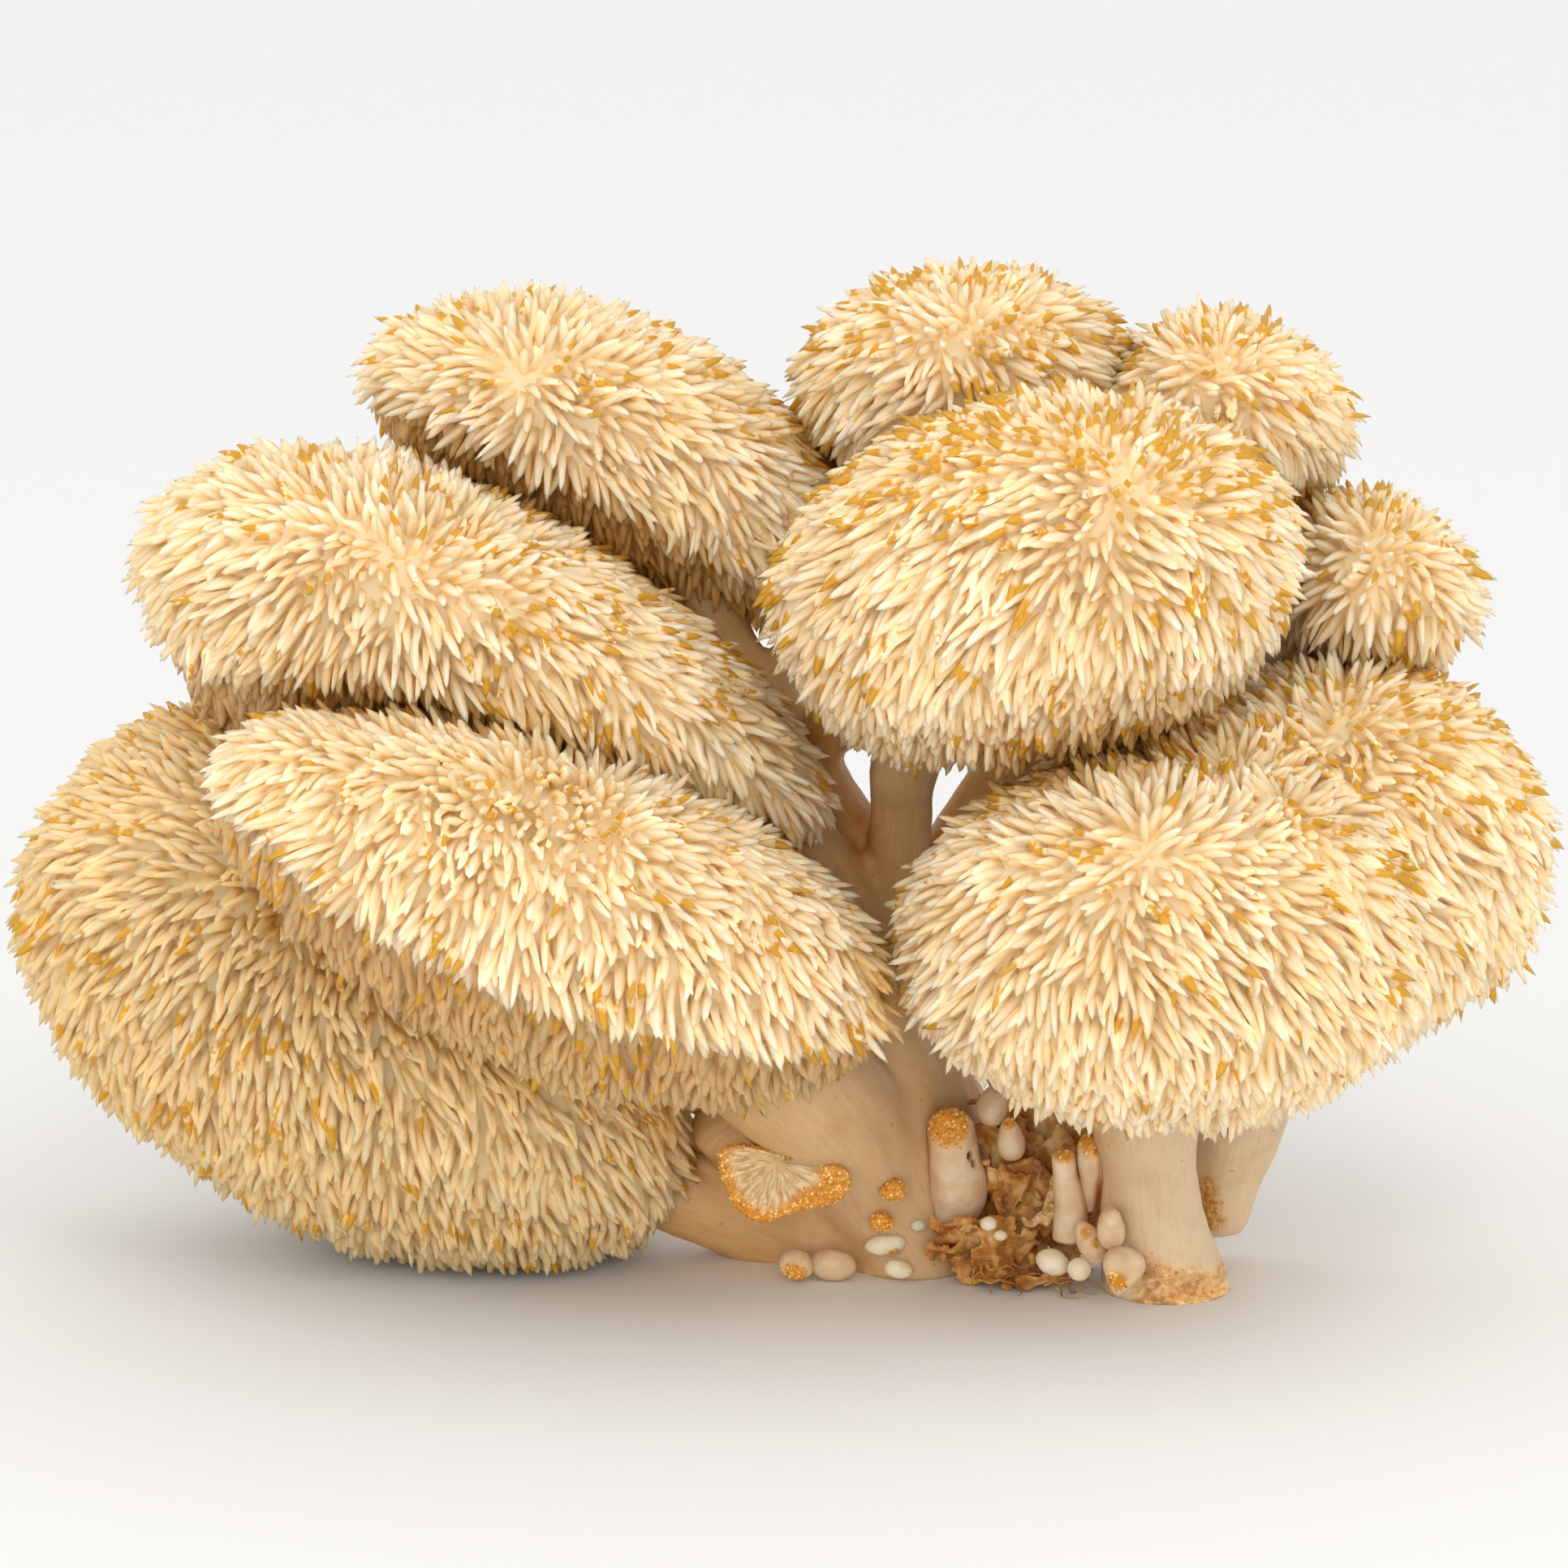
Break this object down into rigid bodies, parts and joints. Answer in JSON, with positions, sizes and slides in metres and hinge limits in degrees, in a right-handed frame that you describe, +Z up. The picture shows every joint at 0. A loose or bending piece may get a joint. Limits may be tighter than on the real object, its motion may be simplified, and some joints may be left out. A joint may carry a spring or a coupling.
{
  "type": "lion's mane mushroom cluster",
  "caption": "Lion's mane mushroom: a spread of cream cushion caps covered in soft spines, on forking beige stems, with golden young buds and dry brown husk at the cut foot.",
  "frame": {"origin": "middle of the cluster's footprint, on the ground", "axes": "+X to the right across the spread of caps, +Y to the back, +Z up"},
  "size_m": [0.2445, 0.1417, 0.1548],
  "materials": {
    "cap_flesh": "soft, moist, slightly translucent",
    "stem_flesh": "satin, finely fibrous",
    "bud_flesh": "smooth, waxy",
    "golden_crust": "granular",
    "husk": "dry, crumpled"
  },
  "bodies": {
    "root": {"cap_rear_left": "cap_flesh", "cap_mid_left": "cap_flesh", "cap_front_left": "cap_flesh", "cap_low_left": "cap_flesh", "cap_top_centre": "cap_flesh", "cap_centre": "cap_flesh", "cap_top_right": "cap_flesh", "cap_right_rear": "cap_flesh", "cap_right": "cap_flesh", "trunk": "stem_flesh", "stem_front_left": "stem_flesh", "stem_low_left": "stem_flesh", "limb_left": "stem_flesh", "stem_mid_left": "stem_flesh", "stem_top_centre": "stem_flesh", "stem_centre": "stem_flesh", "limb_right": "stem_flesh", "stem_right_rear": "stem_flesh", "stem_front_right": "stem_flesh", "stem_far_right": "stem_flesh", "bud_tall": "bud_flesh", "bud_upper": "bud_flesh", "bud_upper_tip": "bud_flesh", "bud_column": "bud_flesh", "bud_round": "bud_flesh", "bud_ring": "bud_flesh", "bud_curved": "bud_flesh", "bud_cone": "bud_flesh", "bead_trunk": "bud_flesh", "bean_white": "bud_flesh", "bud_white_low": "bud_flesh", "bud_white_left": "bud_flesh", "bud_white_right": "bud_flesh", "bead_husk_large": "bud_flesh", "bead_husk_small": "bud_flesh", "lump_beige": "bud_flesh", "young_cap": "golden_crust", "bud_dot_upper": "golden_crust", "bud_dot_lower": "golden_crust", "bud_oval": "golden_crust", "husk_front": "husk", "husk_middle": "husk", "husk_back": "husk", "husk_strip": "husk", "husk_skirt": "husk"}
  },
  "joints": []
}
